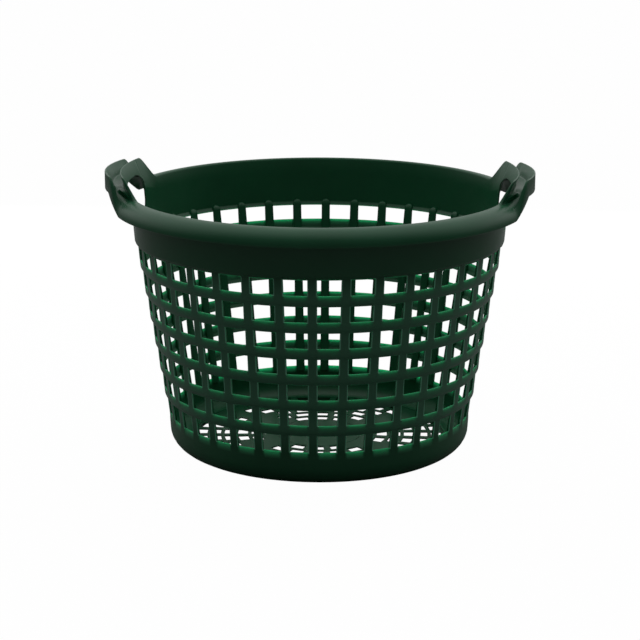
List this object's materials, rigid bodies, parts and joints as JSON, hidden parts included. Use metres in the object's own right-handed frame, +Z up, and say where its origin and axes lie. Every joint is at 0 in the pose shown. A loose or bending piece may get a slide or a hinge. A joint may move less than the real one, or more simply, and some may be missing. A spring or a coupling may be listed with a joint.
{
  "type": "garden basket",
  "caption": "Round tapering plastic garden basket with a lattice wall, a slotted base, a turned-down rim and two raised hand grips.",
  "frame": {"origin": "middle of the foot ring, on the floor", "axes": "+Z up along the basket's axis, +X through the middle of one handle, -Y towards the viewer"},
  "size_m": [0.4676, 0.45, 0.3075],
  "materials": {
    "green_plastic": "satin moulded polyethylene"
  },
  "bodies": {
    "root": {"base_plate": "green_plastic", "base_skirt": "green_plastic", "handle_left_arch": "green_plastic", "handle_left_floor": "green_plastic", "handle_left_strap": "green_plastic", "handle_right_arch": "green_plastic", "handle_right_floor": "green_plastic", "handle_right_strap": "green_plastic", "hoop_1": "green_plastic", "hoop_2": "green_plastic", "hoop_3": "green_plastic", "hoop_4": "green_plastic", "hoop_5": "green_plastic", "hoop_6": "green_plastic", "rim_lip_front": "green_plastic", "rim_lip_rear": "green_plastic", "upper_band": "green_plastic", "uprights": "green_plastic"}
  },
  "joints": []
}
